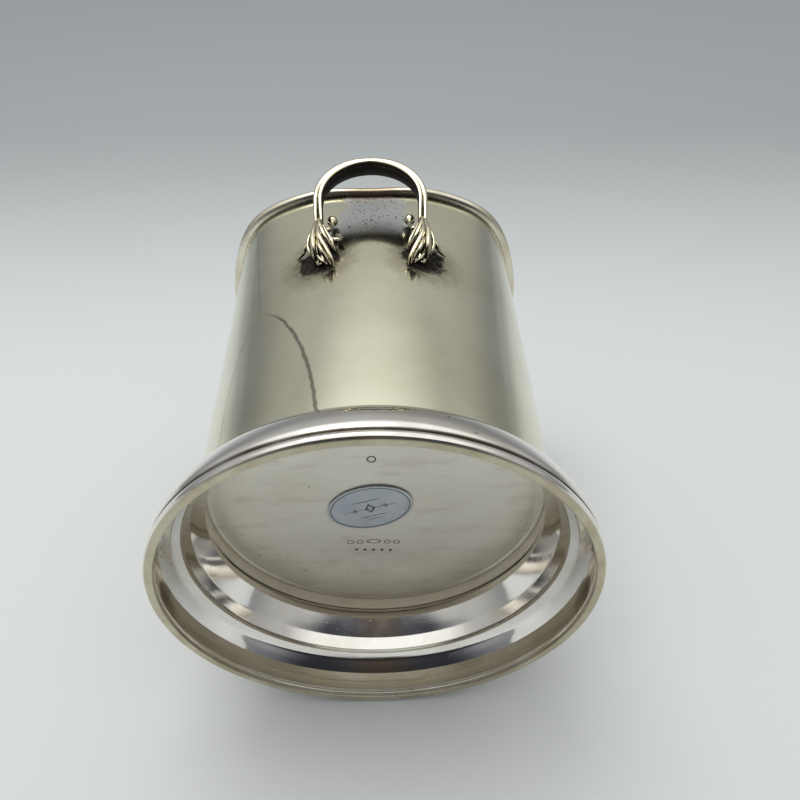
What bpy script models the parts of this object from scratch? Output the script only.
"""Two-handled silver champagne bucket: spun body on a spreading foot, with cast loop handles.

The bucket stands upright on its foot, +Z up, with its axis on Z and z = 0 at the flat of the
foot. The handles are on -Y (front) and +Y (back). Every piece is a separate solid that stands
a solder gap away from its neighbours.
"""
import math

import bmesh
import bpy
from mathutils import Vector

MM = 0.001

# Driving dimensions
SOLDER_GAP = 0.3 * MM
TURNED_STEPS = 64

FOOT_RADIUS = 94.0 * MM          # outer edge of the flat that the bucket stands on
FOOT_FLAT_WIDTH = 3.2 * MM
FOOT_HEIGHT = 30.2 * MM          # top flange of the foot, where the body starts
FOOT_SHEET = 1.2 * MM
EDGE_WIRE_HEIGHT = 4.5 * MM

BODY_RADIUS_LOW = 80.6 * MM
BODY_RADIUS_HIGH = 83.1 * MM
BODY_SHEET = 1.1 * MM
BODY_TOP = 205.6 * MM

BASE_PLATE_Z = 49.0 * MM         # underside of the plate that closes the body
BASE_PLATE_SHEET = 1.0 * MM
BASE_FLANGE_DROP = 6.0 * MM
BASE_CORNER = 3.0 * MM

RIM_WIRE_WIDTH = 5.0 * MM         # how far the rim wire stands out from the wall
RIM_WIRE_HALF_HEIGHT = 2.85 * MM
RIM_WIRE_Z = 203.0 * MM

HANDLE_TILT = math.radians(66.0)  # plane of the loop, up from the horizontal
HANDLE_ROOT_Z = 141.0 * MM        # where that plane meets the wall
HANDLE_ROOT_RADIUS = 81.2 * MM
HANDLE_HALF_WIDTH = 25.8 * MM     # middle of the bar, at its widest
HANDLE_REACH = 49.2 * MM          # middle of the bar, from the wall along the plane
HANDLE_WIDEST = 26.0 * MM         # distance of the widest place from the wall
HANDLE_BAR_END = 14.0 * MM        # where the bar stops and the leaf mount starts
HANDLE_END_HALF_WIDTH = 25.0 * MM
BAR_HALF_THICKNESS = 3.0 * MM     # in the plane of the loop
BAR_HALF_DEPTH = 5.8 * MM         # across the plane of the loop

LABEL_HALF_LENGTH = 20.4 * MM
LABEL_HALF_WIDTH = 14.8 * MM
LABEL_THICKNESS = 0.5 * MM
LABEL_CENTRE = (-3.1 * MM, 1.8 * MM)
LABEL_TURN = math.radians(-17.0)

SILVER = (0.80, 0.79, 0.74)
WORN_FLAT = (0.62, 0.59, 0.48)
OXIDISED = (0.55, 0.54, 0.50)
LABEL_FOIL = (0.70, 0.73, 0.76)


def clear_scene():
    for item in list(bpy.data.objects):
        bpy.data.objects.remove(item, do_unlink=True)


def make_collection(name):
    collection = bpy.data.collections.new(name)
    bpy.context.scene.collection.children.link(collection)
    return collection


def make_material(name, colour, roughness, metallic=1.0):
    material = bpy.data.materials.new(name)
    material.use_nodes = True
    shader = material.node_tree.nodes["Principled BSDF"]
    shader.inputs["Base Color"].default_value = (*colour, 1.0)
    shader.inputs["Roughness"].default_value = roughness
    shader.inputs["Metallic"].default_value = metallic
    return material


def finish(item, collection, material, crease=math.radians(35.0)):
    """Link an object, give it its material and shade its round faces smooth."""
    collection.objects.link(item)
    item.data.materials.clear()
    item.data.materials.append(material)
    item.data.shade_smooth()
    item.data.set_sharp_from_angle(angle=crease)
    return item


def arc(centre, radii, start, end, steps):
    """Points on an elliptical arc in the profile plane, angles in degrees from +X to +Z."""
    points = []
    for k in range(steps + 1):
        angle = math.radians(start + (end - start) * k / steps)
        points.append((centre[0] + radii[0] * math.cos(angle), centre[1] + radii[1] * math.sin(angle)))
    return points


def turned(name, profile, collection, material, closed=True):
    """A turned piece: the profile runs down the outer side, then back up the inner side."""
    mesh = bpy.data.meshes.new(name)
    count = len(profile)
    edges = [(k, k + 1) for k in range(count - 1)]
    if closed:
        edges.append((count - 1, 0))
    mesh.from_pydata([(x, 0.0, z) for x, z in profile], edges, [])
    item = bpy.data.objects.new(name, mesh)
    finish(item, collection, material)
    screw = item.modifiers.new("Turn", "SCREW")
    screw.axis = "Z"
    screw.angle = 2.0 * math.pi
    screw.steps = TURNED_STEPS
    screw.render_steps = TURNED_STEPS
    screw.use_merge_vertices = True
    screw.merge_threshold = 0.00005
    screw.use_smooth_shade = True
    return item


def wall_radius(z):
    """Outer radius of the body, which widens slightly towards the rim."""
    share = (z - FOOT_HEIGHT) / (BODY_TOP - FOOT_HEIGHT)
    return BODY_RADIUS_LOW + (BODY_RADIUS_HIGH - BODY_RADIUS_LOW) * share


def body_profile():
    low = FOOT_HEIGHT + SOLDER_GAP
    lip = 0.4 * MM
    outer = [(BODY_RADIUS_HIGH - lip, BODY_TOP), (BODY_RADIUS_HIGH, BODY_TOP - lip)]
    outer += [(wall_radius(z), z) for z in (160.0 * MM, 95.0 * MM, low)]
    inner = [(wall_radius(z) - BODY_SHEET, z) for z in (low, 95.0 * MM, 160.0 * MM)]
    inner += [(BODY_RADIUS_HIGH - BODY_SHEET, BODY_TOP - lip)]
    inner += [(BODY_RADIUS_HIGH - BODY_SHEET + lip, BODY_TOP)]
    return outer + inner


def base_plate_profile():
    """A flat plate whose edge turns down into a short flange against the wall."""
    edge = BODY_RADIUS_LOW - BODY_SHEET - SOLDER_GAP
    top = BASE_PLATE_Z + BASE_PLATE_SHEET
    foot = BASE_PLATE_Z - BASE_FLANGE_DROP
    outer_corner = BASE_CORNER + BASE_PLATE_SHEET
    profile = [(0.0, top)]
    profile += arc((edge - outer_corner, top - outer_corner), (outer_corner, outer_corner), 90, 0, 5)
    profile += [(edge, foot), (edge - BASE_PLATE_SHEET, foot)]
    inner_centre = (edge - outer_corner, BASE_PLATE_Z - BASE_CORNER)
    profile += arc(inner_centre, (BASE_CORNER, BASE_CORNER), 0, 90, 5)
    profile.append((0.0, BASE_PLATE_Z))
    return profile


def foot_outline():
    """The outer side of the foot: flange, hollow, bead, full round moulding."""
    flange = BODY_RADIUS_LOW + 0.5 * MM
    hollow = arc((FOOT_RADIUS - 5.0 * MM, FOOT_HEIGHT), (8.4 * MM, 9.4 * MM), 188, 236, 4)
    bead = arc((FOOT_RADIUS - 9.3 * MM, 18.3 * MM), (1.8 * MM, 2.1 * MM), 50, -50, 4)
    bulge = arc((FOOT_RADIUS - 8.5 * MM, 8.2 * MM), (10.4 * MM, 8.0 * MM), 84, 0, 7)
    underside = arc((FOOT_RADIUS - 1.6 * MM, 7.6 * MM), (3.4 * MM, 3.0 * MM), -20, -62, 2)
    return [(flange, FOOT_HEIGHT)] + hollow + bead + bulge + underside


def inset_outline(points, distance):
    """The same outline moved in by the thickness of the sheet, square to each stretch of it."""
    moved = []
    for k, (x, z) in enumerate(points):
        before = points[max(k - 1, 0)]
        after = points[min(k + 1, len(points) - 1)]
        run = (after[0] - before[0], after[1] - before[1])
        length = math.hypot(*run)
        moved.append((x + run[1] / length * distance, z - run[0] / length * distance))
    return moved


def foot_profile():
    outer = foot_outline()
    inner = inset_outline(outer, FOOT_SHEET)[1:]
    low = EDGE_WIRE_HEIGHT + SOLDER_GAP
    outer.append((outer[-1][0] - 0.1 * MM, low))
    inner.append((outer[-1][0] - FOOT_SHEET - 0.3 * MM, low))
    inner.reverse()
    flange_inner = BODY_RADIUS_LOW - BODY_SHEET - 0.6 * MM
    return outer + inner + [(flange_inner, FOOT_HEIGHT - FOOT_SHEET), (flange_inner, FOOT_HEIGHT)]


def edge_wire_profile():
    """The heavy moulded wire under the foot, with the flat that the bucket stands on."""
    inner = FOOT_RADIUS - FOOT_FLAT_WIDTH
    bulge = arc((FOOT_RADIUS - 0.5 * MM, 2.25 * MM), (2.0 * MM, 2.25 * MM), 62, -75, 7)
    top = [(inner + 1.0 * MM, EDGE_WIRE_HEIGHT), (bulge[0][0], EDGE_WIRE_HEIGHT)]
    lower = [(FOOT_RADIUS, 0.0), (inner, 0.0), (inner - 0.3 * MM, 1.2 * MM), (inner, 3.2 * MM)]
    return top + bulge + lower


def rim_wire_profile():
    """Half-round wire with its flat side against the wall."""
    inner = BODY_RADIUS_HIGH + SOLDER_GAP
    return arc((inner, RIM_WIRE_Z), (RIM_WIRE_WIDTH, RIM_WIRE_HALF_HEIGHT), 90, -90, 12)


def loop_point(across, reach):
    """A point of the front handle's plane: across the bucket, and out from the wall."""
    out = HANDLE_ROOT_RADIUS + reach * math.cos(HANDLE_TILT)
    return Vector((across, -out, HANDLE_ROOT_Z + reach * math.sin(HANDLE_TILT)))


def loop_path():
    """The bar's centre line from one leaf mount, over the arch, to the other."""
    leg_steps = 5
    arch_steps = 24
    leg = []
    for k in range(leg_steps):
        share = k / leg_steps
        spread = (HANDLE_HALF_WIDTH - HANDLE_END_HALF_WIDTH) * math.sin(share * math.pi / 2) ** 2
        reach = HANDLE_BAR_END + (HANDLE_WIDEST - HANDLE_BAR_END) * share
        leg.append((HANDLE_END_HALF_WIDTH + spread, reach))
    arch = []
    for k in range(arch_steps + 1):
        angle = math.pi * k / arch_steps
        rise = (HANDLE_REACH - HANDLE_WIDEST) * math.sin(angle) ** 0.94
        arch.append((HANDLE_HALF_WIDTH * math.cos(angle), HANDLE_WIDEST + rise))
    other_leg = [(-width, reach) for width, reach in reversed(leg)]
    return leg + arch + other_leg


def handle_bar(name, collection, material, back):
    """The loop of one handle: a round bar widened across the plane of the loop to an oval."""
    curve = bpy.data.curves.new(name + "_path", "CURVE")
    curve.dimensions = "3D"
    curve.bevel_depth = BAR_HALF_THICKNESS
    curve.bevel_resolution = 3
    curve.use_fill_caps = True
    path = loop_path()
    spline = curve.splines.new("POLY")
    spline.points.add(len(path) - 1)
    for point, (across, reach) in zip(spline.points, path):
        point.co = (*loop_point(across, reach), 1.0)
    guide = bpy.data.objects.new(name + "_path", curve)
    collection.objects.link(guide)
    bpy.context.view_layer.update()
    solid = guide.evaluated_get(bpy.context.evaluated_depsgraph_get())
    mesh = bpy.data.meshes.new_from_object(solid)
    bpy.data.objects.remove(guide, do_unlink=True)
    shape = bmesh.new()
    shape.from_mesh(mesh)
    bmesh.ops.remove_doubles(shape, verts=shape.verts, dist=0.00001)
    normal = Vector((0.0, -math.sin(HANDLE_TILT), -math.cos(HANDLE_TILT)))
    origin = loop_point(0.0, 0.0)
    for vertex in shape.verts:
        height = (vertex.co - origin).dot(normal)
        vertex.co += normal * height * (BAR_HALF_DEPTH / BAR_HALF_THICKNESS - 1.0)
    turn_to_back(shape, back)
    shape.to_mesh(mesh)
    shape.free()
    mesh.name = name
    return finish(bpy.data.objects.new(name, mesh), collection, material)


def turn_to_back(shape, back):
    """The back handle is the front one turned half way round the bucket."""
    if not back:
        return
    for vertex in shape.verts:
        vertex.co.x = -vertex.co.x
        vertex.co.y = -vertex.co.y


# Leaf mount sections from the bar down to the tip: height of the middle, slope of the cut,
# middle and half width across the bucket, front and back face measured out from the wall.
LEAF_STATIONS = (
    (153.52 * MM, 0.445, 25.0 * MM, 3.0 * MM, 13.4 * MM, 2.8 * MM),
    (150.4 * MM, 0.42, 25.1 * MM, 5.0 * MM, 12.6 * MM, 1.6 * MM),
    (147.2 * MM, 0.36, 25.2 * MM, 7.4 * MM, 11.2 * MM, 0.3 * MM),
    (143.6 * MM, 0.26, 25.0 * MM, 9.3 * MM, 9.2 * MM, 0.3 * MM),
    (139.6 * MM, 0.14, 24.4 * MM, 9.1 * MM, 7.0 * MM, 0.3 * MM),
    (135.2 * MM, 0.0, 23.6 * MM, 7.8 * MM, 5.6 * MM, 0.3 * MM),
    (130.8 * MM, 0.0, 22.6 * MM, 5.8 * MM, 4.6 * MM, 0.3 * MM),
    (127.4 * MM, 0.0, 20.7 * MM, 3.6 * MM, 3.0 * MM, 0.3 * MM),
    (124.8 * MM, 0.0, 19.0 * MM, 1.6 * MM, 1.7 * MM, 0.3 * MM),
)
LEAF_SECTION_POINTS = 24
LEAF_RIDGES = 4
LEAF_RIDGE_DEPTH = 0.22


def leaf_section(station, share):
    """One closed section of a leaf mount: ridged in front, a solder gap off the wall behind."""
    height, slope, middle, half_width, front, rear = station
    wall = wall_radius(height)
    centre = (front + rear) / 2
    centre_out = math.sqrt((wall + centre) ** 2 - middle ** 2)
    points = []
    for k in range(LEAF_SECTION_POINTS):
        angle = 2.0 * math.pi * k / LEAF_SECTION_POINTS
        ridge = 0.5 - 0.5 * math.cos(LEAF_RIDGES * 2.0 * angle)
        groove = LEAF_RIDGE_DEPTH * share * max(math.sin(angle), 0.0) * ridge
        level = centre + (front - rear) / 2 * math.sin(angle) * (1.0 - groove)
        x = middle + half_width * math.cos(angle)
        out = math.sqrt((wall + level) ** 2 - x * x)
        points.append((x, -out, height - slope * (out - centre_out)))
    return points


def leaf_mount(name, collection, material, left, back):
    """One cast leaf: a loft from the end of the bar to the leaf tip that lies on the wall."""
    shape = bmesh.new()
    rings = []
    for k, station in enumerate(LEAF_STATIONS):
        share = k / (len(LEAF_STATIONS) - 1)
        rings.append([shape.verts.new(point) for point in leaf_section(station, share)])
    for upper, lower in zip(rings, rings[1:]):
        for k in range(LEAF_SECTION_POINTS):
            after = (k + 1) % LEAF_SECTION_POINTS
            shape.faces.new((upper[k], upper[after], lower[after], lower[k]))
    shape.faces.new(rings[0])
    shape.faces.new(list(reversed(rings[-1])))
    if left:
        for vertex in shape.verts:
            vertex.co.x = -vertex.co.x
    turn_to_back(shape, back)
    bmesh.ops.recalc_face_normals(shape, faces=shape.faces)
    mesh = bpy.data.meshes.new(name)
    shape.to_mesh(mesh)
    shape.free()
    return finish(bpy.data.objects.new(name, mesh), collection, material)


def base_label(collection, material):
    """A blank oval foil label on the underside of the base plate."""
    shape = bmesh.new()
    bmesh.ops.create_cone(shape, cap_ends=True, segments=40, radius1=1.0, radius2=1.0, depth=LABEL_THICKNESS)
    for vertex in shape.verts:
        vertex.co.x *= LABEL_HALF_LENGTH
        vertex.co.y *= LABEL_HALF_WIDTH
    mesh = bpy.data.meshes.new("base_label")
    shape.to_mesh(mesh)
    shape.free()
    item = bpy.data.objects.new("base_label", mesh)
    item.location = (*LABEL_CENTRE, BASE_PLATE_Z - SOLDER_GAP - LABEL_THICKNESS / 2)
    item.rotation_euler = (0.0, 0.0, LABEL_TURN)
    return finish(item, collection, material)


def build():
    clear_scene()
    bucket = make_collection("champagne_bucket")
    silver = make_material("polished_silver", SILVER, 0.22)
    worn = make_material("worn_foot_flat", WORN_FLAT, 0.45)
    cast = make_material("oxidised_cast_silver", OXIDISED, 0.30)
    foil = make_material("label_foil", LABEL_FOIL, 0.40, 0.6)
    turned("body_wall", body_profile(), bucket, silver)
    turned("base_plate", base_plate_profile(), bucket, silver, closed=False)
    turned("foot_spinning", foot_profile(), bucket, silver)
    turned("foot_edge_wire", edge_wire_profile(), bucket, worn)
    turned("rim_wire", rim_wire_profile(), bucket, silver)
    for side, back in (("front", False), ("back", True)):
        handle_bar("handle_bar_" + side, bucket, cast, back)
        leaf_mount("leaf_mount_" + side + "_left", bucket, cast, True, back)
        leaf_mount("leaf_mount_" + side + "_right", bucket, cast, False, back)
    base_label(bucket, foil)


build()
